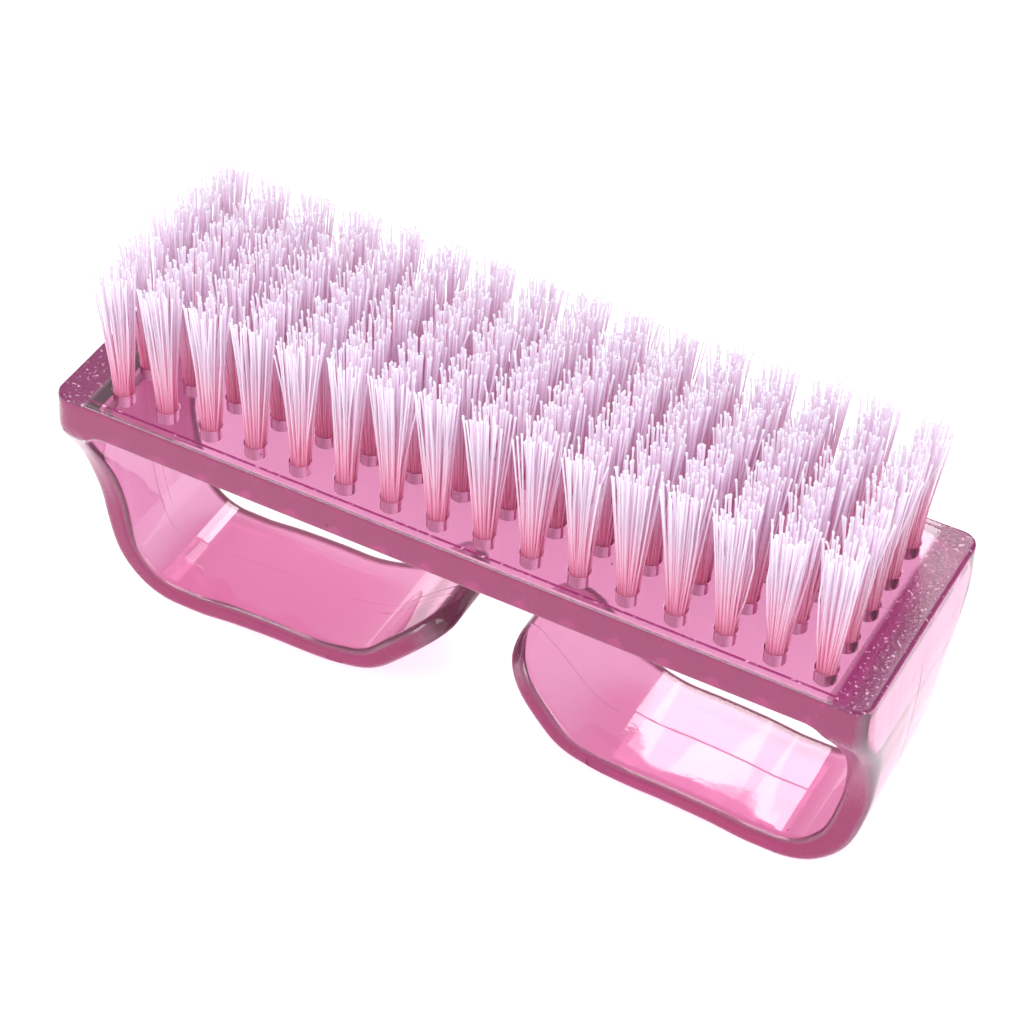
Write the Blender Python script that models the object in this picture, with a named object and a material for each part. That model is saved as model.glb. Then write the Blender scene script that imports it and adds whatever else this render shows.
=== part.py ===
"""Acrylic nail brush: a clear pink moulded body with two finger hooks, and eighty tufts of nylon bristle.

The brush stands on its two hooks with the bristles up. X runs along the brush, Y across it and Z up,
and the origin is on the resting surface, under the middle of the brush. Lengths are in metres.
"""

import math

import bmesh
import bpy
from mathutils import Vector

MM = 0.001

# Driving dimensions of the plate that holds the bristles
PLATE_LENGTH = 90.2 * MM
PLATE_DEPTH = 28.6 * MM
PLATE_THICKNESS = 4.1 * MM
PLATE_TOP = 31.3 * MM
END_DRAFT = 0.3 * MM

# Finger hooks: wall thickness, the fillet under the plate, and the rounding of the long edges
WALL = 3.1 * MM
TIP_WALL = 2.6 * MM
FILLET = 3.2 * MM
HOOK_EDGE = 0.9 * MM
PLATE_EDGE = 0.5 * MM
HOOK_WIDTH = 15.0 * MM
WAIST_START = 4.7 * MM
WAIST_DEPTH = 20.0 * MM
WAIST_POWER = 1.62
TIP_ROUNDING = 6.5 * MM
TIP_SQUARENESS = 2.4
# The tip spreads a little before it rounds off, as (first inset, last inset, share of the width)
TIP_SPREAD = (25.0 * MM, 42.4 * MM, 0.06)

# Outer profile of one hook, as (inset from the plate's end, depth below the plate's top)
HOOK_PROFILE = (
    (-0.3, 8.5),
    (0.05, 15.0),
    (0.75, 21.2),
    (2.3, 26.6),
    (5.5, 30.1),
    (9.6, 31.3),
    (12.4, 31.3),
    (16.9, 30.8),
    (21.9, 30.5),
    (26.4, 30.4),
    (30.2, 29.7),
    (34.6, 28.0),
    (39.0, 23.7),
    (42.4, 20.8),
)
FLAT_FOOT = (5, 6)

# Bristle field
TUFTS_LONG = 16
TUFTS_DEEP = 5
PITCH_X = 5.2 * MM
PITCH_Y = 5.0 * MM
HOLE_RADIUS = 1.15 * MM
HOLE_DEPTH = 3.0 * MM
GAP = 0.3 * MM
TUFT_HEIGHT = 15.9 * MM
TUFT_TIP_RADIUS = 2.5 * MM
TUFT_TIP_DEPTH = 2.05 * MM
TUFT_LEAN = 0.2 * MM
TUFT_SIDES = 8
HOLE_SIDES = 8

HALF_LENGTH = PLATE_LENGTH / 2
HALF_DEPTH = PLATE_DEPTH / 2
PLATE_UNDERSIDE = PLATE_TOP - PLATE_THICKNESS


def clear_scene():
    for existing in list(bpy.data.objects):
        bpy.data.objects.remove(existing, do_unlink=True)


def new_collection(name):
    collection = bpy.data.collections.new(name)
    bpy.context.scene.collection.children.link(collection)
    return collection


def plastic(name, colour, roughness, alpha=1.0):
    """A Principled material for a moulded or drawn plastic."""
    material = bpy.data.materials.new(name)
    material.use_nodes = True
    shader = material.node_tree.nodes["Principled BSDF"]
    shader.inputs["Base Color"].default_value = (*colour, 1.0)
    shader.inputs["Roughness"].default_value = roughness
    shader.inputs["Metallic"].default_value = 0.0
    shader.inputs["Alpha"].default_value = alpha
    return material


def add_object(name, mesh, collection, material=None):
    piece = bpy.data.objects.new(name, mesh)
    collection.objects.link(piece)
    if material and not mesh.materials:
        mesh.materials.append(material)
    return piece


def face_outwards(mesh):
    bmesh.ops.recalc_face_normals(mesh, faces=mesh.faces)
    if mesh.calc_volume(signed=True) < 0:
        bmesh.ops.reverse_faces(mesh, faces=mesh.faces)


def half_width(height):
    """Half the body's depth at a height: full at the plate, drawn in to the hooks' width below it."""
    drop = min(max((PLATE_TOP - WAIST_START - height) / (WAIST_DEPTH - WAIST_START), 0.0), 1.0)
    taken = (PLATE_DEPTH - HOOK_WIDTH) / 2
    return HALF_DEPTH - taken * (1.0 - (1.0 - drop) ** WAIST_POWER)


def spline(points, steps):
    """Points on a Catmull-Rom curve through the given ones, steps to a span; the flat foot stays straight."""
    path = []
    for i in range(len(points) - 1):
        a, b = points[i], points[i + 1]
        before = points[i - 1] if i > 0 else 2 * a - b
        after = points[i + 2] if i + 2 < len(points) else 2 * b - a
        slope_a = (b - before) / 2
        slope_b = (after - a) / 2
        if i in FLAT_FOOT:
            slope_a = Vector((slope_a.x, 0.0))
        if i + 1 in FLAT_FOOT:
            slope_b = Vector((slope_b.x, 0.0))
        for step in range(steps):
            t = step / steps
            path.append(
                a * (2 * t**3 - 3 * t**2 + 1)
                + slope_a * (t**3 - 2 * t**2 + t)
                + b * (3 * t**2 - 2 * t**3)
                + slope_b * (t**3 - t**2)
            )
    path.append(points[-1])
    return path


def spread(point):
    """How much wider than the hook its upturned tip is at this point of the outer profile."""
    first, last, share = TIP_SPREAD
    along = (HALF_LENGTH - point.x - first) / (last - first)
    if not 0.0 < along < 1.0:
        return 1.0
    return 1.0 + share * math.sin(math.pi * along) ** 2


def hook_sections(steps):
    """(outer, inner, share of the width) from the hook's rounded tip up to the plate's fillet."""
    outer = [
        Vector((HALF_LENGTH - inset * MM, PLATE_TOP - depth * MM)) for inset, depth in HOOK_PROFILE
    ]
    outer = spline(outer, steps)
    outer.reverse()
    sections = []
    tip_x = outer[0].x
    for i, point in enumerate(outer):
        ahead = outer[min(i + 1, len(outer) - 1)] - outer[max(i - 1, 0)]
        inward = Vector((-ahead.y, ahead.x)).normalized()
        from_tip = point.x - tip_x
        thickness = TIP_WALL + (WALL - TIP_WALL) * min(from_tip / (HALF_LENGTH - tip_x), 1.0)
        past = max(1.0 - max(from_tip, 0.0) / TIP_ROUNDING, 0.0) if i < len(outer) // 2 else 0.0
        taper = max((1.0 - past**TIP_SQUARENESS) ** (1.0 / TIP_SQUARENESS), 0.16)
        sections.append((point, point + inward * thickness, taper * spread(point)))
    return sections


def corner_sections(steps):
    """(outer, inner, share of the width) round the plate's end, up to the plate's flat part."""
    inner_centre = Vector((HALF_LENGTH - WALL - FILLET, PLATE_UNDERSIDE - FILLET))
    corner = Vector((HALF_LENGTH - PLATE_EDGE, PLATE_TOP - PLATE_EDGE))
    sections = []
    for step in range(steps + 1):
        turn = math.pi / 2 * step / steps
        inner = inner_centre + FILLET * Vector((math.cos(turn), math.sin(turn)))
        if 2 * step < steps:
            share = step / (steps / 2)
            height = inner_centre.y + (corner.y - inner_centre.y) * share**0.7
            draft = END_DRAFT * (corner.y - height) / (corner.y - inner_centre.y)
            outer = Vector((HALF_LENGTH + draft, height))
        elif 2 * step == steps:
            outer = corner + PLATE_EDGE * Vector((1, 1)).normalized()
        else:
            share = (2 * step - steps) / steps
            outer = Vector((corner.x + (inner_centre.x - corner.x) * share**1.4, PLATE_TOP))
        sections.append((outer, inner, 1.0))
    return sections


def section_ring(mesh, outer, inner, taper):
    """One rounded rectangle across the body, between the outer and the inner profile."""
    span = outer - inner
    thickness = span.length
    ring = []
    edge = PLATE_EDGE if outer.y > PLATE_UNDERSIDE else HOOK_EDGE
    rounds = {"outer": min(edge, thickness * 0.45), "inner": min(HOOK_EDGE, edge, thickness * 0.45)}
    for side, at, sign_y, turns in (
        ("outer", 1, 1, (2, 1, 0)),
        ("outer", 1, -1, (0, 1, 2)),
        ("inner", 0, -1, (0, 1, 2)),
        ("inner", 0, 1, (2, 1, 0)),
    ):
        radius = rounds[side]
        for turn in turns:
            angle = math.pi / 4 * turn
            across = radius * (1 - (math.cos(angle) if side == "inner" else math.sin(angle)))
            along = radius * (1 - (math.sin(angle) if side == "inner" else math.cos(angle)))
            share = 1 - along / thickness if at else along / thickness
            place = inner + span * share
            reach = half_width(place.y) * taper - min(across, half_width(place.y) * taper * 0.8)
            ring.append(mesh.verts.new((place.x, sign_y * reach, place.y)))
    return ring


def loft_body():
    """The plate and both hooks as one bent band, lofted through its cross sections and capped at the tips."""
    right = hook_sections(3)[:-1] + corner_sections(8)
    mirrored = [(Vector((-o.x, o.y)), Vector((-i.x, i.y)), taper) for o, i, taper in reversed(right)]
    mesh = bmesh.new()
    rings = [section_ring(mesh, *section) for section in right + mirrored]
    for ring, following in zip(rings, rings[1:]):
        for k in range(len(ring)):
            after = (k + 1) % len(ring)
            mesh.faces.new((ring[k], ring[after], following[after], following[k]))
    mesh.faces.new(rings[0])
    mesh.faces.new(rings[-1])
    bmesh.ops.remove_doubles(mesh, verts=mesh.verts, dist=0.01 * MM)
    face_outwards(mesh)
    data = bpy.data.meshes.new("moulded_body")
    mesh.to_mesh(data)
    mesh.free()
    return data


def tuft_places():
    """(x, y) of every tuft, row by row."""
    for row in range(TUFTS_DEEP):
        for place in range(TUFTS_LONG):
            yield (
                (place - (TUFTS_LONG - 1) / 2) * PITCH_X,
                (row - (TUFTS_DEEP - 1) / 2) * PITCH_Y,
            )


def hole_cutters(collection):
    """All the blind holes as one cutter."""
    mesh = bmesh.new()
    above = 1.0 * MM
    for x, y in tuft_places():
        made = bmesh.ops.create_cone(
            mesh,
            cap_ends=True,
            segments=HOLE_SIDES,
            radius1=HOLE_RADIUS,
            radius2=HOLE_RADIUS,
            depth=HOLE_DEPTH + above,
        )
        middle = PLATE_TOP + (above - HOLE_DEPTH) / 2
        bmesh.ops.translate(mesh, verts=made["verts"], vec=(x, y, middle))
    data = bpy.data.meshes.new("tuft_holes")
    mesh.to_mesh(data)
    mesh.free()
    cutter = add_object("tuft_holes", data, collection)
    cutter.hide_render = True
    cutter.display_type = "WIRE"
    return cutter


def make_body(parts, cutters, material):
    body = add_object("moulded_body", loft_body(), parts, material)
    holes = body.modifiers.new("tuft_holes", "BOOLEAN")
    holes.operation = "DIFFERENCE"
    holes.solver = "EXACT"
    holes.object = hole_cutters(cutters)
    body.data.shade_smooth()
    body.data.set_sharp_from_angle(angle=math.radians(35))
    return body


def tuft_mesh(side):
    """One tuft: a straight root in its hole, then a fan that leans to its neighbour at the tips."""
    root_radius = HOLE_RADIUS - GAP
    tip = (side * TUFT_LEAN, TUFT_HEIGHT, TUFT_TIP_RADIUS, TUFT_TIP_DEPTH)
    levels = (
        (0.0, GAP - HOLE_DEPTH, root_radius, root_radius),
        (0.0, 0.2 * MM, root_radius, root_radius),
        (0.35 * side * TUFT_LEAN, 0.45 * TUFT_HEIGHT, 1.45 * MM, 1.4 * MM),
        tip,
    )
    mesh = bmesh.new()
    rings = []
    for shift, height, radius_x, radius_y in levels:
        made = bmesh.ops.create_circle(mesh, segments=TUFT_SIDES, radius=1.0)["verts"]
        for vertex in made:
            angle = math.atan2(vertex.co.y, vertex.co.x) + math.pi / TUFT_SIDES
            reach = 1.0 / math.cos(math.pi / TUFT_SIDES)
            vertex.co.x = shift + radius_x * reach * math.cos(angle)
            vertex.co.y = radius_y * reach * math.sin(angle)
            vertex.co.z = PLATE_TOP + height
        rings.append(made)
    for lower, upper in zip(rings, rings[1:]):
        for k in range(TUFT_SIDES):
            after = (k + 1) % TUFT_SIDES
            mesh.faces.new((lower[k], lower[after], upper[after], upper[k]))
    mesh.faces.new(rings[0])
    mesh.faces.new(rings[-1])
    face_outwards(mesh)
    bmesh.ops.translate(mesh, verts=mesh.verts, vec=(-side * PITCH_X / 2, 0.0, 0.0))
    data = bpy.data.meshes.new("tuft")
    mesh.to_mesh(data)
    mesh.free()
    return data


def make_tufts(parts, cutters, material):
    """Forty pairs of tufts; the two fans of a pair meet at their tips."""
    shared = tuft_mesh(side=1)
    partner = add_object("partner_tuft", tuft_mesh(side=-1), cutters)
    partner.hide_render = True
    partner.display_type = "WIRE"
    first = add_object("pair_pattern", shared, cutters)
    join = first.modifiers.new("join", "BOOLEAN")
    join.operation = "UNION"
    join.solver = "EXACT"
    join.object = partner
    graph = bpy.context.evaluated_depsgraph_get()
    pair = bpy.data.meshes.new_from_object(first.evaluated_get(graph))
    pair.name = "tuft_pair"
    bpy.data.objects.remove(first)
    bpy.data.objects.remove(partner)
    pair.materials.append(material)
    pair.shade_smooth()
    pair.set_sharp_from_angle(angle=math.radians(50))
    for row in range(TUFTS_DEEP):
        for number in range(TUFTS_LONG // 2):
            tufts = add_object(f"tuft_pair_r{row + 1}_{number + 1}", pair, parts)
            tufts.location.x = (2 * number + 1 - TUFTS_LONG / 2) * PITCH_X
            tufts.location.y = (row - (TUFTS_DEEP - 1) / 2) * PITCH_Y


clear_scene()
nail_brush = new_collection("nail_brush")
helpers = new_collection("cutters")
helpers.hide_render = True
clear_pink = plastic("clear_pink_acrylic", (0.80, 0.22, 0.45), 0.12, alpha=0.6)
nylon = plastic("white_nylon_bristle", (0.82, 0.78, 0.84), 0.4)
make_body(nail_brush, helpers, clear_pink)
make_tufts(nail_brush, helpers, nylon)
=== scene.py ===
"""Nail brush: a clear pink moulded body with two finger hooks, eighty tufts of nylon bristle and
their metal anchors.

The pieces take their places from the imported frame. Sizes are in millimetres unless a comment says
otherwise, and MM turns them to the frame's metres.
"""

import math
import random

import bmesh
import bpy
from mathutils import Matrix, Vector


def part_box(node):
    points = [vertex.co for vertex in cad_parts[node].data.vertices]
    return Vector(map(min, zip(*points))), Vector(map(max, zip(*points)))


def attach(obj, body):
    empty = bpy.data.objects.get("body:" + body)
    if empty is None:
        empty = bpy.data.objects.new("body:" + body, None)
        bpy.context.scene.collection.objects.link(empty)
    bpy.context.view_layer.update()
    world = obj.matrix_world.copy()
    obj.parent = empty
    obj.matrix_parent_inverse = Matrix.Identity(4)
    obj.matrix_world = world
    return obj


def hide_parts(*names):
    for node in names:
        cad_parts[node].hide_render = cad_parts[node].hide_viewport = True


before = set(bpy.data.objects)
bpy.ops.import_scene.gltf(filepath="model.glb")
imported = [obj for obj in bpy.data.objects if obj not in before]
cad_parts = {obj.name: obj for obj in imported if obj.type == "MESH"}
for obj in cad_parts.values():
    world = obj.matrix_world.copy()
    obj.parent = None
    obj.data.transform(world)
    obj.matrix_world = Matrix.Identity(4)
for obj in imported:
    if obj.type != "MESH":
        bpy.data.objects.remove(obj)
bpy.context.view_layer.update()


# ---------------------------------------------------------------- moulded body
# The block and both finger hooks are one injection moulding in clear pink acrylic, a single band
# that bends down at each end of the block and curls back under it. The halves of the mould meet
# on the mid plane, and the eighty blind holes are drilled into the block afterwards.

MM = 0.001
body_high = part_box("moulded_body")[1]
END_DRAFT = 0.3
HALF_LENGTH = body_high.x / MM - END_DRAFT
HALF_DEPTH = body_high.y / MM
PLATE_TOP = body_high.z / MM
UNDERSIDE = PLATE_TOP - 4.1
WALL = 3.1
TIP_WALL = 2.6
FILLET = 3.2
# Rounding of the edges on the block and on the hooks, and the depths between which one becomes the other
PLATE_EDGE = 0.5
HOOK_EDGE = 0.95
EDGE_CHANGES = (5.0, 14.0)
# The block's corners seen from above, and the depths between which they fade into the hooks
PLAN_CORNER = 2.0
CORNER_FADES = (8.0, 20.0)
# The sides draw in to the hook's width between these depths below the block's top
HOOK_WIDTH = 15.0
WAIST = (4.7, 20.0)
WAIST_POWER = 1.62
# Between these insets from the block's end, the tongue is wider again by up to this share
TIP_SPREAD = (25.0, 42.4, 0.06)
TIP_ROUNDING = 6.5
TIP_POWER = 2.4
TIP_BLUNTING = 1.3
PARTING_RIDGE = 0.05
PARTING_HALF = 0.14
# Outer line of a hook, as (inset from the block's end, depth below the block's top)
HOOK_LINE = (
    (-0.3, 8.5),
    (0.05, 15.0),
    (0.75, 21.2),
    (2.3, 26.6),
    (5.5, 30.1),
    (9.6, 31.3),
    (12.4, 31.3),
    (16.9, 30.8),
    (21.9, 30.5),
    (26.4, 30.4),
    (30.2, 29.7),
    (34.6, 28.0),
    (39.0, 23.7),
    (42.4, 20.8),
)
FLAT_FOOT = (5, 6)


def smooth_line(points, steps):
    """A smooth curve through the points, level at both ends of the flat foot."""
    path = []
    for i in range(len(points) - 1):
        a, b = points[i], points[i + 1]
        before = points[i - 1] if i > 0 else 2 * a - b
        after = points[i + 2] if i + 2 < len(points) else 2 * b - a
        slopes = [(b - before) / 2, (after - a) / 2]
        for k in (0, 1):
            if i + k in FLAT_FOOT:
                slopes[k] = Vector((slopes[k].x, 0.0))
        for step in range(steps):
            t = step / steps
            path.append(
                a * (2 * t**3 - 3 * t**2 + 1)
                + slopes[0] * (t**3 - 2 * t**2 + t)
                + b * (3 * t**2 - 2 * t**3)
                + slopes[1] * (t**3 - t**2)
            )
    return path + [points[-1]]


def ease(value, start, end):
    """Rises smoothly from 0 to 1 as the value goes from the start to the end."""
    share = min(max((value - start) / (end - start), 0.0), 1.0)
    return share * share * (3 - 2 * share)


def half_width(height):
    """Half the depth at a height: full at the block, drawn in to the hooks' width below it."""
    drop = min(max((PLATE_TOP - WAIST[0] - height) / (WAIST[1] - WAIST[0]), 0.0), 1.0)
    return HALF_DEPTH - (HALF_DEPTH - HOOK_WIDTH / 2) * (1.0 - (1.0 - drop) ** WAIST_POWER)


def tongue_width(inset):
    """How many times wider the tongue is than the rest of the hook, at an inset from the block's end."""
    share = (inset - TIP_SPREAD[0]) / (TIP_SPREAD[1] - TIP_SPREAD[0])
    if not 0.0 < share < 1.0:
        return 1.0
    return 1.0 + TIP_SPREAD[2] * math.sin(math.pi * share) ** 2


def hook_rings():
    """(outer, inner, share of the width) from the rounded tip of a hook up to the block."""
    corners = [Vector((HALF_LENGTH - inset, PLATE_TOP - depth)) for inset, depth in HOOK_LINE]
    line = smooth_line(corners, steps=30)
    line.reverse()
    travelled = [0.0]
    for a, b in zip(line, line[1:]):
        travelled.append(travelled[-1] + (b - a).length)
    # Lengths along the line, close together on the rounded tip and then a millimetre apart
    wanted = [0.02, 0.08, 0.2, 0.4, 0.65, 1.0, 1.45, 2.0, 2.7, 3.5, 4.4, 5.4]
    while wanted[-1] + 1.0 < travelled[-1] - 0.9:
        wanted.append(wanted[-1] + 1.0)
    rings = []
    at = 0
    for length in wanted:
        while travelled[at + 1] < length:
            at += 1
        share = (length - travelled[at]) / (travelled[at + 1] - travelled[at])
        point = line[at].lerp(line[at + 1], share)
        ahead = line[min(at + 3, len(line) - 1)] - line[max(at - 2, 0)]
        inward = Vector((-ahead.y, ahead.x)).normalized()
        along_x = max(point.x - line[0].x, 0.0)
        thickness = TIP_WALL + (WALL - TIP_WALL) * min(along_x / (HALF_LENGTH - line[0].x), 1.0)
        past = max(1.0 - length / TIP_ROUNDING, 0.0)
        width = (1.0 - past**TIP_POWER) ** (1 / TIP_POWER)
        if at < len(line) // 2:
            width *= tongue_width(HALF_LENGTH - point.x)
        blunt = math.sqrt(1.0 - (1.0 - min(length / TIP_BLUNTING, 1.0)) ** 2)
        lost = thickness * (1.0 - blunt) / 2
        rings.append((point + inward * lost, point + inward * (thickness - lost), width))
    return rings


def corner_rings():
    """(outer, inner, share of the width) round the end of the block, up to its flat part."""
    centre = Vector((HALF_LENGTH - WALL - FILLET, UNDERSIDE - FILLET))
    edge = PLATE_TOP - PLATE_EDGE
    outer = []
    for rise in (0.0, 2.2, 4.2, 5.8, 6.8):
        height = centre.y + rise
        draft = END_DRAFT * (edge - height) / (edge - centre.y)
        outer.append(Vector((HALF_LENGTH + draft, height)))
    for turn in (22.5, 45.0, 67.5, 90.0):
        turn = math.radians(turn)
        outer.append(
            Vector((HALF_LENGTH - PLATE_EDGE, edge))
            + PLATE_EDGE * Vector((math.cos(turn), math.sin(turn)))
        )
    for back in (0.35, 0.75, 1.15, 1.6, 2.4, 3.6, 4.9, 5.8):
        outer.append(Vector((HALF_LENGTH - PLATE_EDGE - back, PLATE_TOP)))
    rings = []
    for i, point in enumerate(outer):
        turn = math.pi / 2 * i / (len(outer) - 1)
        inner = centre + FILLET * Vector((math.cos(turn), math.sin(turn)))
        rings.append((point, inner, 1.0))
    return rings


def ring_points(outer, inner, share):
    """The points of one rounded cross section, as (distance across the thickness, y)."""
    span = inner - outer
    thickness = span.length
    low = ease(PLATE_TOP - outer.y, *EDGE_CHANGES)
    radius = min(PLATE_EDGE + (HOOK_EDGE - PLATE_EDGE) * low, thickness * 0.46)
    plan = PLAN_CORNER * (1.0 - ease(PLATE_TOP - outer.y, *CORNER_FADES))
    face = max(outer.x, HALF_LENGTH) if outer.y > UNDERSIDE - FILLET - 0.5 else outer.x
    stops = []
    for step in range(5):
        turn = math.radians(22.5 * step)
        stops.append((radius * (1 - math.cos(turn)), radius * (1 - math.sin(turn))))
    middle = [(radius + (thickness - 2 * radius) * part, 0.0) for part in (0.2, 0.4, 0.6, 0.8)]
    stops += middle + [(thickness - across, taken) for across, taken in reversed(stops)]
    edge = []
    for across, taken in stops:
        place = outer + span * (across / thickness)
        inset = max(face - place.x, 0.0)
        if inset < plan:
            taken += plan - math.sqrt(plan**2 - (plan - inset) ** 2)
        reach = half_width(place.y) * share
        edge.append((place, reach - min(taken, reach * 0.85)))
    normal = span.normalized()
    hook = 0.0 if outer.y > PLATE_TOP - 2.0 else 1.0
    outside = outer + normal * (PARTING_RIDGE * hook * ease(outer.y, 0.6, 2.0))
    inside = inner + normal * (PARTING_RIDGE * hook)
    ring = [(place, y) for place, y in edge]
    ring += [(inner, PARTING_HALF), (inside, 0.0), (inner, -PARTING_HALF)]
    ring += [(place, -y) for place, y in reversed(edge)]
    ring += [(outer, -PARTING_HALF), (outside, 0.0), (outer, PARTING_HALF)]
    return ring


# The band is lofted through its cross sections, because no single sweep has its changing width
right = [(1, section) for section in hook_rings() + corner_rings()]
left = [(-1, section) for side, section in reversed(right)]
mesh = bmesh.new()
rings = []
for side, section in right + left:
    rings.append(
        [
            mesh.verts.new((side * place.x * MM, y * MM, place.y * MM))
            for place, y in ring_points(*section)
        ]
    )
for ring, following in zip(rings, rings[1:]):
    for k in range(len(ring)):
        after = (k + 1) % len(ring)
        mesh.faces.new((ring[k], ring[after], following[after], following[k]))
mesh.faces.new(rings[0])
mesh.faces.new(rings[-1])
bmesh.ops.remove_doubles(mesh, verts=mesh.verts, dist=0.001 * MM)
bmesh.ops.recalc_face_normals(mesh, faces=mesh.faces)
if mesh.calc_volume(signed=True) < 0:
    bmesh.ops.reverse_faces(mesh, faces=mesh.faces)
data = bpy.data.meshes.new("brush_body")
mesh.to_mesh(data)
mesh.free()
body = bpy.data.objects.new("brush_body", data)
bpy.context.collection.objects.link(body)

# Drill for the blind holes: a pointed end, straight sides and a broken edge at the mouth
HOLE_RADIUS = 1.15
HOLE_DEPTH = 3.0
EDGE_BREAK = 0.12
BREAK_GROWTH = 1.22
POINT_DEPTH = 0.35
TUFT_PITCH = 5.2
tuft_spots = []
for row in range(1, 6):
    for number in range(1, 9):
        pair_low, pair_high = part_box(f"tuft_pair_r{row}_{number}")
        middle = (pair_low + pair_high) / 2
        for side in (-1, 1):
            column = 2 * number - (side < 0)
            tuft_spots.append((row, column, middle.x + side * TUFT_PITCH / 2 * MM, middle.y))

bpy.ops.object.select_all(action="DESELECT")
bpy.ops.mesh.primitive_cylinder_add(
    vertices=28,
    radius=HOLE_RADIUS * MM,
    depth=(HOLE_DEPTH - EDGE_BREAK) * MM,
    location=(0, 0, (PLATE_TOP - (HOLE_DEPTH + EDGE_BREAK) / 2) * MM),
)
drill = bpy.context.object
bpy.ops.object.transform_apply(location=True)
bpy.ops.object.mode_set(mode="EDIT")
bpy.ops.mesh.select_mode(type="FACE")


def pick_faces(piece, chosen):
    """Selects the faces whose centre and normal pass the test, in edit mode."""
    shape = bmesh.from_edit_mesh(piece.data)
    for face in shape.faces:
        face.select = chosen(face.calc_center_median(), face.normal)
    bmesh.update_edit_mesh(piece.data)


pick_faces(drill, lambda centre, normal: normal.z > 0.9)
# The broken edge ends just above the block's top, and a straight end above that clears the block
for rise, grow in ((EDGE_BREAK + 0.02, BREAK_GROWTH), (1.0, 1.0)):
    bpy.ops.mesh.extrude_region_move(TRANSFORM_OT_translate={"value": (0, 0, rise * MM)})
    bpy.ops.transform.resize(value=(grow, grow, 1))
pick_faces(drill, lambda centre, normal: normal.z < -0.9)
bpy.ops.mesh.extrude_region_move(TRANSFORM_OT_translate={"value": (0, 0, -POINT_DEPTH * MM)})
bpy.ops.transform.resize(value=(0.25, 0.25, 1))
bpy.ops.object.mode_set(mode="OBJECT")
drills = [drill]
for _, _, x, y in tuft_spots:
    copy = bpy.data.objects.new("drill", drill.data.copy())
    bpy.context.collection.objects.link(copy)
    copy.location = (x, y, 0)
    drills.append(copy)

# The pins that push the moulding out of its mould leave a shallow round mark on each hook's rims
PIN_INSET = 29.6
PIN_HEIGHT = PLATE_TOP - 28.45
PIN_RADIUS = 1.12
PIN_LENGTH = 2.0
MARK_DEPTH = 0.10
pin_reach = half_width(PIN_HEIGHT) * tongue_width(PIN_INSET) + PIN_LENGTH / 2 - MARK_DEPTH
for side in (-1, 1):
    for facing in (-1, 1):
        bpy.ops.object.select_all(action="DESELECT")
        bpy.ops.mesh.primitive_cylinder_add(
            vertices=32,
            radius=PIN_RADIUS * MM,
            depth=PIN_LENGTH * MM,
            location=(side * (HALF_LENGTH - PIN_INSET) * MM, facing * pin_reach * MM, PIN_HEIGHT * MM),
            rotation=(math.pi / 2, 0, 0),
        )
        drills.append(bpy.context.object)
bpy.data.objects.remove(drills.pop(0))
bpy.ops.object.select_all(action="DESELECT")
for tool in drills:
    tool.select_set(True)
bpy.context.view_layer.objects.active = drills[0]
bpy.ops.object.join()
drill = bpy.context.object
bpy.ops.object.transform_apply(location=True, rotation=True, scale=True)
cut = body.modifiers.new("drilled_holes", "BOOLEAN")
cut.operation = "DIFFERENCE"
cut.solver = "EXACT"
cut.object = drill
bpy.ops.object.select_all(action="DESELECT")
body.select_set(True)
bpy.context.view_layer.objects.active = body
bpy.ops.object.modifier_apply(modifier=cut.name)
bpy.data.objects.remove(drill)
bpy.ops.object.shade_smooth_by_angle(angle=math.radians(32))
even = body.modifiers.new("even_shading", "WEIGHTED_NORMAL")
even.keep_sharp = True
bpy.ops.object.modifier_apply(modifier=even.name)


def linear(code):
    """An sRGB hex colour as a linear RGBA value."""
    parts = [int(code[i : i + 2], 16) / 255 for i in (0, 2, 4)]
    return (*[c / 12.92 if c <= 0.04045 else ((c + 0.055) / 1.055) ** 2.4 for c in parts], 1.0)


def new_material(name):
    """A material with an empty node tree."""
    made = bpy.data.materials.new(name)
    made.use_nodes = True
    made.node_tree.nodes.clear()
    return made, made.node_tree


def node(tree, kind, inputs=None, **settings):
    """Adds a node, with its settings, and values or links for its inputs."""
    made = tree.nodes.new(kind)
    for name, value in settings.items():
        setattr(made, name, value)
    for socket, value in (inputs or {}).items():
        if isinstance(value, bpy.types.NodeSocket):
            tree.links.new(value, made.inputs[socket])
        else:
            made.inputs[socket].default_value = value
    return made


# Clear pink acrylic, injection moulded in a polished mould: light passes, and the pink deepens with
# the thickness that it crosses. The top has an etched strip at each end and a fine etched line along
# each long edge. The end walls show streaks where the melt flowed, and dust specks lie all over.
acrylic, tree = new_material("clear_pink_acrylic_moulded")
place = node(tree, "ShaderNodeTexCoord").outputs["Object"]
axes = node(tree, "ShaderNodeSeparateXYZ", {0: place}).outputs
from_middle = node(tree, "ShaderNodeMath", {0: axes["X"]}, operation="ABSOLUTE").outputs[0]

# Etched strips and lines on the top. Their grain is drawn 0.4 mm wide, coarser than real, to show, and
# its high points are painted glints in a light pink.
at_end = node(
    tree, "ShaderNodeMapRange", {"Value": from_middle, "From Min": 40.8 * MM, "From Max": 41.4 * MM}
).outputs[0]
on_top = node(
    tree,
    "ShaderNodeMapRange",
    {"Value": axes["Z"], "From Min": (PLATE_TOP - 0.4) * MM, "From Max": (PLATE_TOP - 0.2) * MM},
).outputs[0]
from_seam = node(tree, "ShaderNodeMath", {0: axes["Y"]}, operation="ABSOLUTE").outputs[0]
border = node(
    tree, "ShaderNodeMath", {0: from_seam, 1: 13.2 * MM, 2: 0.16 * MM}, operation="COMPARE"
).outputs[0]
framed = node(tree, "ShaderNodeMath", {0: at_end, 1: border}, operation="MAXIMUM").outputs[0]
etched = node(tree, "ShaderNodeMath", {0: framed, 1: on_top}, operation="MULTIPLY").outputs[0]
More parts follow.
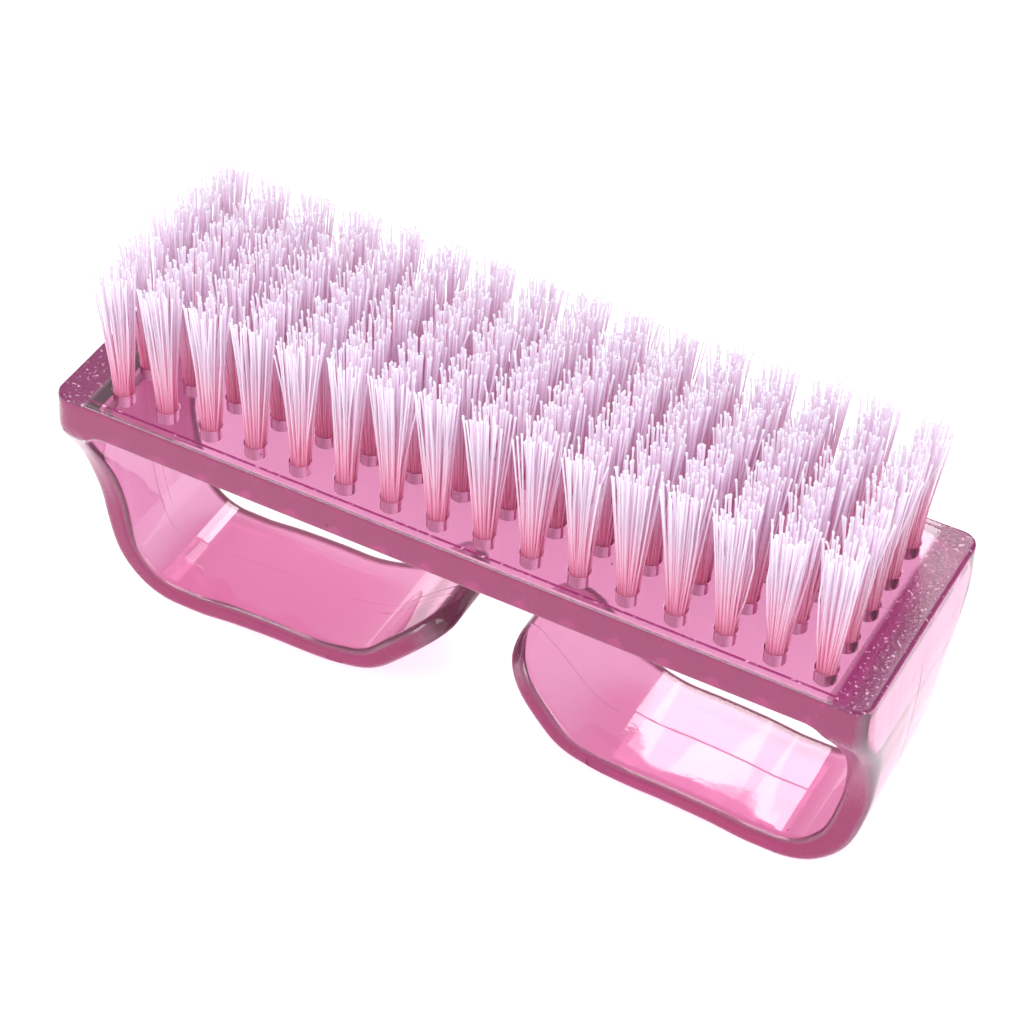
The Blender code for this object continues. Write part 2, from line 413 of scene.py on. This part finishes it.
grain = node(
    tree, "ShaderNodeTexNoise", {"Vector": place, "Scale": 2600.0, "Detail": 2.0}
).outputs["Fac"]
# Painted glints: where the grain is highest, the etched colour turns light pink
painted_glint = node(tree, "ShaderNodeMapRange", {"Value": grain, "From Min": 0.62, "From Max": 0.70}).outputs[0]
frosted_with_painted_glints = node(
    tree, "ShaderNodeMix", {0: painted_glint, 6: linear("8A2464"), 7: linear("F2C4DE")}, data_type="RGBA"
).outputs[2]

# Dust specks about 0.3 mm wide, in about a quarter of the cells of a 3 mm pattern
cells = node(tree, "ShaderNodeTexVoronoi", {"Vector": place, "Scale": 330.0, "Randomness": 1.0})
dot = node(
    tree,
    "ShaderNodeMapRange",
    {
        "Value": cells.outputs["Distance"],
        "From Min": 0.035,
        "From Max": 0.055,
        "To Min": 1.0,
        "To Max": 0.0,
    },
).outputs[0]
lot = node(tree, "ShaderNodeSeparateXYZ", {0: cells.outputs["Color"]}).outputs["X"]
few = node(tree, "ShaderNodeMath", {0: lot, 1: 0.72}, operation="GREATER_THAN").outputs[0]
speck = node(tree, "ShaderNodeMath", {0: dot, 1: few}, operation="MULTIPLY").outputs[0]

# Flow streaks up the end walls, a millimetre or two apart
endways = node(
    tree, "ShaderNodeMath", {0: from_middle, 1: 43.6 * MM}, operation="GREATER_THAN"
).outputs[0]
streaky = node(tree, "ShaderNodeMapping", {"Vector": place, "Scale": (1.0, 700.0, 60.0)}).outputs[0]
streak = node(
    tree, "ShaderNodeTexNoise", {"Vector": streaky, "Scale": 1.0, "Detail": 3.0}
).outputs["Fac"]
flow = node(
    tree,
    "ShaderNodeMapRange",
    {"Value": streak, "From Min": 0.3, "From Max": 0.75, "To Min": 1.0, "To Max": 0.35},
).outputs[0]
on_wall = node(tree, "ShaderNodeMath", {0: endways, 1: flow}, operation="MULTIPLY").outputs[0]

# The rims that face sideways are duller than the polished faces, and painted shade makes them deeper in
# colour
normal = node(tree, "ShaderNodeNewGeometry").outputs["Normal"]
facing = node(tree, "ShaderNodeSeparateXYZ", {0: normal}).outputs
sideways = node(tree, "ShaderNodeMath", {0: facing["Y"]}, operation="ABSOLUTE").outputs[0]
on_rim = node(
    tree, "ShaderNodeMapRange", {"Value": sideways, "From Min": 0.6, "From Max": 0.95}
).outputs[0]
matt = node(tree, "ShaderNodeMath", {0: on_rim, 1: etched}, operation="MAXIMUM").outputs[0]
tint = node(
    tree, "ShaderNodeMix", {0: on_wall, 6: linear("D9ACC4"), 7: linear("C67CA4")}, data_type="RGBA"
).outputs[2]
# Painted shade: faces that look sideways take a deeper magenta
tint = node(
    tree, "ShaderNodeMix", {0: on_rim, 6: tint, 7: linear("A02C68")}, data_type="RGBA"
).outputs[2]
tint = node(tree, "ShaderNodeMix", {0: etched, 6: tint, 7: frosted_with_painted_glints}, data_type="RGBA").outputs[2]
colour = node(
    tree, "ShaderNodeMix", {0: speck, 6: tint, 7: linear("4A1F3C")}, data_type="RGBA"
).outputs[2]
clearness = node(tree, "ShaderNodeMapRange", {"Value": matt, "To Min": 0.92, "To Max": 0.42}).outputs[0]

# The polish is a little uneven, in waves of 4 to 5 mm
wave = node(
    tree, "ShaderNodeTexNoise", {"Vector": place, "Scale": 220.0, "Detail": 3.0}
).outputs["Fac"]
polished = node(
    tree,
    "ShaderNodeMapRange",
    {"Value": wave, "From Min": 0.35, "From Max": 0.75, "To Min": 0.015, "To Max": 0.07},
).outputs[0]
rough = node(
    tree, "ShaderNodeMath", {0: matt, 1: 0.22, 2: polished}, operation="MULTIPLY_ADD"
).outputs[0]
deep_grain = node(
    tree, "ShaderNodeMath", {0: etched, 1: 1.0, 2: 0.02}, operation="MULTIPLY_ADD"
).outputs[0]
grain_height = node(
    tree, "ShaderNodeMath", {0: grain, 1: deep_grain}, operation="MULTIPLY"
).outputs[0]
height = node(
    tree, "ShaderNodeMath", {0: wave, 1: 0.22, 2: grain_height}, operation="MULTIPLY_ADD"
).outputs[0]
bump = node(tree, "ShaderNodeBump", {"Height": height, "Strength": 0.35, "Distance": 0.00012})
surface = node(
    tree,
    "ShaderNodeBsdfPrincipled",
    {
        "Base Color": colour,
        "Roughness": rough,
        "IOR": 1.49,
        "Transmission Weight": clearness,
        "Normal": bump.outputs[0],
    },
)

# Rays that test for shadow pass straight through, so that the moulding casts a pale pink shadow
through = node(tree, "ShaderNodeBsdfTransparent", {"Color": linear("FFEAF4")})
ray = node(tree, "ShaderNodeLightPath")
both = node(
    tree,
    "ShaderNodeMixShader",
    {0: ray.outputs["Is Shadow Ray"], 1: surface.outputs[0], 2: through.outputs[0]},
)
depth = node(tree, "ShaderNodeVolumeAbsorption", {"Color": linear("D476B5"), "Density": 165.0})
node(tree, "ShaderNodeOutputMaterial", {"Surface": both.outputs[0], "Volume": depth.outputs[0]})
body.data.materials.clear()
body.data.materials.append(acrylic)
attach(body, "root")
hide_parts("moulded_body")


# ---------------------------------------------------------------- tuft anchors
# Each tuft is held by a short piece of flat metal wire that the tufting machine drives into the hole,
# across the fold of the filaments. It is cut off a coil, so both ends are sheared, and it bites into
# the sides of the hole.

ANCHOR = (2.16, 0.34, 1.15)
ANCHOR_LIFT = 0.3
ANCHOR_MIDDLE = PLATE_TOP - HOLE_DEPTH + ANCHOR_LIFT + ANCHOR[2] / 2

# Nickel silver wire, drawn flat: the die leaves fine bright and dull lines along it
anchor_metal, tree = new_material("nickel_silver_wire_drawn")
place = node(tree, "ShaderNodeTexCoord").outputs["Object"]
drawn = node(tree, "ShaderNodeMapping", {"Vector": place, "Scale": (900.0, 7000.0, 7000.0)}).outputs[0]
lines = node(tree, "ShaderNodeTexNoise", {"Vector": drawn, "Scale": 1.0, "Detail": 2.0}).outputs["Fac"]
tone = node(
    tree, "ShaderNodeMix", {0: lines, 6: linear("8F8A86"), 7: linear("C9C3BC")}, data_type="RGBA"
).outputs[2]
rough = node(tree, "ShaderNodeMapRange", {"Value": lines, "To Min": 0.22, "To Max": 0.42}).outputs[0]
bump = node(tree, "ShaderNodeBump", {"Height": lines, "Strength": 0.3, "Distance": 0.00003})
surface = node(
    tree,
    "ShaderNodeBsdfPrincipled",
    {"Base Color": tone, "Metallic": 1.0, "Roughness": rough, "Normal": bump.outputs[0]},
)
node(tree, "ShaderNodeOutputMaterial", {"Surface": surface.outputs[0]})

bpy.ops.object.select_all(action="DESELECT")
bpy.ops.mesh.primitive_cube_add(size=1.0, location=(0, 0, 0))
anchor = bpy.context.object
anchor.scale = [side * MM for side in ANCHOR]
bpy.ops.object.transform_apply(scale=True)
bpy.ops.object.mode_set(mode="EDIT")
bpy.ops.mesh.select_all(action="SELECT")
bpy.ops.mesh.bevel(offset=0.09 * MM, segments=2, affect="EDGES")
bpy.ops.object.mode_set(mode="OBJECT")
bpy.ops.object.shade_smooth_by_angle(angle=math.radians(40))
anchor.data.materials.append(anchor_metal)
for row, column, x, y in tuft_spots:
    made = bpy.data.objects.new(f"anchor_r{row}_{column:02d}", anchor.data.copy())
    bpy.context.collection.objects.link(made)
    made.data.transform(Matrix.Translation((x, y, ANCHOR_MIDDLE * MM)))
    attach(made, "root")
bpy.data.objects.remove(anchor)


# ---------------------------------------------------------------- bristle tufts
# A tuft is some fifty ends of clear nylon filament, folded in half round its anchor and packed into
# the hole. The filaments fan out from the mouth of the hole to their trimmed tips. No two stand alike,
# and the rows towards the back are worn a little shorter.

FILAMENT_RADIUS = 0.105
FOLDED = 27
TUFT_HEIGHT = 15.9
# Reach of the outermost filaments at the hole's mouth, and how many times wider they stand at the tips
PACKED = 0.92
FAN = 2.3
# The tufts at the ends and at the long sides of the grid lean outwards by this much
GRID_REACH = (39.0, 10.0)
LEAN = (0.2, 0.3)
# Most that a tuft at the back has lost, and the rows over which that comes in
WEAR = 1.5
WEAR_ROWS = (-1.0, 10.0)
STRAY_SHARE = 0.07
FOLD_DEPTH = 2.78

# Clear nylon, drawn: a bundle of thin clear filaments looks white and glows with the light that falls
# through it. Its pink foot is painted light from the pink block, and its trimmed tips are a little
# lighter as a painted highlight.
nylon, tree = new_material("clear_nylon_filament_drawn")
place = node(tree, "ShaderNodeTexCoord").outputs["Object"]
rise = node(tree, "ShaderNodeSeparateXYZ", {0: place}).outputs["Z"]
up = node(
    tree,
    "ShaderNodeMapRange",
    {"Value": rise, "From Min": (PLATE_TOP - 2.0) * MM, "From Max": (PLATE_TOP + TUFT_HEIGHT) * MM},
).outputs[0]
# Painted light: pink at the foot, fading upwards, and a painted highlight making the tips lighter
ramp = node(tree, "ShaderNodeValToRGB", {"Fac": up})
stops = ramp.color_ramp.elements
stops[0].color = linear("F4B4D2")
stops[0].position = 0.0
stops[1].color = linear("F0EEF4")
stops[1].position = 1.0
for position, code in ((0.2, "F3C4DA"), (0.42, "EED6E3"), (0.7, "E7E2EA")):
    stop = stops.new(position)
    stop.color = linear(code)
surface = node(
    tree,
    "ShaderNodeBsdfPrincipled",
    {"Base Color": ramp.outputs[0], "Roughness": 0.22, "IOR": 1.53},
)
glow = node(tree, "ShaderNodeBsdfTranslucent", {"Color": ramp.outputs[0]})
both = node(tree, "ShaderNodeMixShader", {0: 0.5, 1: surface.outputs[0], 2: glow.outputs[0]})
through = node(tree, "ShaderNodeBsdfTransparent", {"Color": linear("F5E3ED")})
ray = node(tree, "ShaderNodeLightPath")
lit = node(
    tree,
    "ShaderNodeMixShader",
    {0: ray.outputs["Is Shadow Ray"], 1: both.outputs[0], 2: through.outputs[0]},
)
node(tree, "ShaderNodeOutputMaterial", {"Surface": lit.outputs[0]})

for row, column, x, y in tuft_spots:
    chance = random.Random(100 * row + column)
    lean = Vector((LEAN[0] * (x / MM / GRID_REACH[0]) ** 3, LEAN[1] * (y / MM / GRID_REACH[1])))
    lean += Vector((chance.uniform(-0.25, 0.25), chance.uniform(-0.25, 0.25)))
    worn = WEAR * ease(y / MM, *WEAR_ROWS)
    curve = bpy.data.curves.new(f"tuft_r{row}_{column:02d}", "CURVE")
    curve.dimensions = "3D"
    curve.bevel_depth = FILAMENT_RADIUS * MM
    curve.bevel_resolution = 0
    curve.use_fill_caps = True
    for number in range(FOLDED):
        away = PACKED * math.sqrt((number + 0.5) / FOLDED)
        angle = math.pi * ((number * 0.618034) % 1.0)
        legs = []
        for side in (1, -1):
            root = Vector((away * math.cos(angle), side * (0.28 + 0.72 * away * math.sin(angle))))
            fan = FAN + chance.uniform(-0.4, 0.3)
            stray = chance.random() < STRAY_SHARE
            tip = root * fan + lean
            tip += Vector((chance.gauss(0, 0.22), chance.gauss(0, 0.22)))
            if stray:
                tip += Vector((chance.uniform(-1.6, 1.6), chance.uniform(-1.3, 1.3)))
            bow = Vector((chance.gauss(0, 0.14), chance.gauss(0, 0.14))) * (2.5 if stray else 1.0)
            end = TUFT_HEIGHT - worn - abs(chance.gauss(0, 0.6)) - (0.5 if stray else 0.0)
            # A leg bows on its way up, and its trimmed tip is a little thicker and rounded off
            leg = [(root.x, root.y, -0.4, 1.0)]
            for part in (0.3, 0.62, 0.965):
                spot = root.lerp(tip, part**1.1) + bow * math.sin(math.pi * part)
                leg.append((spot.x, spot.y, end * part, 1.0))
            leg.append((tip.x, tip.y, end - 0.12, 1.6))
            leg.append((tip.x, tip.y, end, 0.7))
            legs.append(leg)
        fold = [(legs[0][0][0] * 0.9, 0.12 * side, -FOLD_DEPTH, 1.0) for side in (1, -1)]
        path = list(reversed(legs[0])) + fold + legs[1]
        spline = curve.splines.new("POLY")
        spline.points.add(len(path) - 1)
        for point, (px, py, pz, thick) in zip(spline.points, path):
            point.co = (x + px * MM, y + py * MM, (PLATE_TOP + pz) * MM, 1.0)
            point.radius = thick
        spline.use_smooth = True
    tuft = bpy.data.objects.new(curve.name, curve)
    bpy.context.collection.objects.link(tuft)
    bpy.ops.object.select_all(action="DESELECT")
    tuft.select_set(True)
    bpy.context.view_layer.objects.active = tuft
    bpy.ops.object.convert(target="MESH")
    tuft.data.materials.clear()
    tuft.data.materials.append(nylon)
    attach(tuft, "root")
    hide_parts(f"tuft_pair_r{row}_{(column + 1) // 2}")


# ---------------------------------------------------------------- floor, light and camera
# A pale seamless sweep of matt card in a white room. A wide softbox hangs overhead, a panel stands in
# front and one to the right, and a small window light makes the straight-edged glints in the hooks.

bpy.ops.object.select_all(action="DESELECT")
bpy.ops.mesh.primitive_plane_add(size=6.0, location=(0, 0, 0))
floor = bpy.context.object
floor.name = "pale_floor"
# White card, matt: it scatters light evenly, and a faint glow keeps it as pale as the room
card, tree = new_material("matt_white_card")
surface = node(
    tree,
    "ShaderNodeBsdfPrincipled",
    {
        "Base Color": linear("F7F7FA"),
        "Roughness": 0.8,
        "Emission Color": linear("FFFFFF"),
        "Emission Strength": 0.25,
    },
)
node(tree, "ShaderNodeOutputMaterial", {"Surface": surface.outputs[0]})
floor.data.materials.append(card)

world = bpy.data.worlds.new("soft_room")
bpy.context.scene.world = world
world.use_nodes = True
world.node_tree.nodes["Background"].inputs["Color"].default_value = linear("FFFFFF")
world.node_tree.nodes["Background"].inputs["Strength"].default_value = 0.85


def softbox(name, place, size, power):
    """An area light of a width and a height, aimed at the middle of the brush."""
    light = bpy.data.lights.new(name, "AREA")
    light.shape = "RECTANGLE"
    light.size, light.size_y = size
    light.energy = power
    made = bpy.data.objects.new(name, light)
    bpy.context.collection.objects.link(made)
    made.location = place
    made.rotation_euler = (Vector((0, 0, 0.02)) - Vector(place)).to_track_quat("-Z", "Y").to_euler()


# Places and sizes in metres, power in watts
softbox("overhead_softbox", (-0.15, 0.25, 0.75), (0.55, 0.55), 3.2)
softbox("front_panel", (-0.22, -0.48, 0.46), (0.4, 0.3), 2.2)
softbox("right_panel", (0.65, -0.25, 0.45), (0.35, 0.35), 1.2)

# The window light hangs level, with its edges along the brush, so that the hooks mirror it
window = bpy.data.lights.new("window_light", "AREA")
window.shape = "RECTANGLE"
window.size, window.size_y = 0.115, 0.05
window.energy = 0.17
pane = bpy.data.objects.new("window_light", window)
bpy.context.collection.objects.link(pane)
pane.location = (-0.018, 0.183, 0.203)

# A long lens looks down on the brush from the front and a little from the right
camera = bpy.data.cameras.new("camera")
camera.lens = 111.2
camera.sensor_width = 36.0
viewer = bpy.data.objects.new("camera", camera)
bpy.context.collection.objects.link(viewer)
yaw, pitch, roll = math.radians(-25.78), math.radians(42.59), math.radians(-3.25)
ahead = Vector((math.sin(yaw) * math.cos(pitch), math.cos(yaw) * math.cos(pitch), -math.sin(pitch)))
level = Vector((math.cos(yaw), -math.sin(yaw), 0.0))
down = ahead.cross(level)
across = math.cos(roll) * level + math.sin(roll) * down
below = -math.sin(roll) * level + math.cos(roll) * down
viewer.matrix_world = Matrix((
    (across.x, -below.x, -ahead.x, 102.8 * MM),
    (across.y, -below.y, -ahead.y, -211.6 * MM),
    (across.z, -below.z, -ahead.z, 241.0 * MM),
    (0.0, 0.0, 0.0, 1.0),
))
bpy.context.scene.camera = viewer
bpy.context.scene.view_settings.view_transform = "Standard"
# Light crosses many faces of clear plastic on its way, so it may bounce often
bpy.context.scene.cycles.max_bounces = 24
bpy.context.scene.cycles.diffuse_bounces = 10
bpy.context.scene.cycles.transmission_bounces = 24
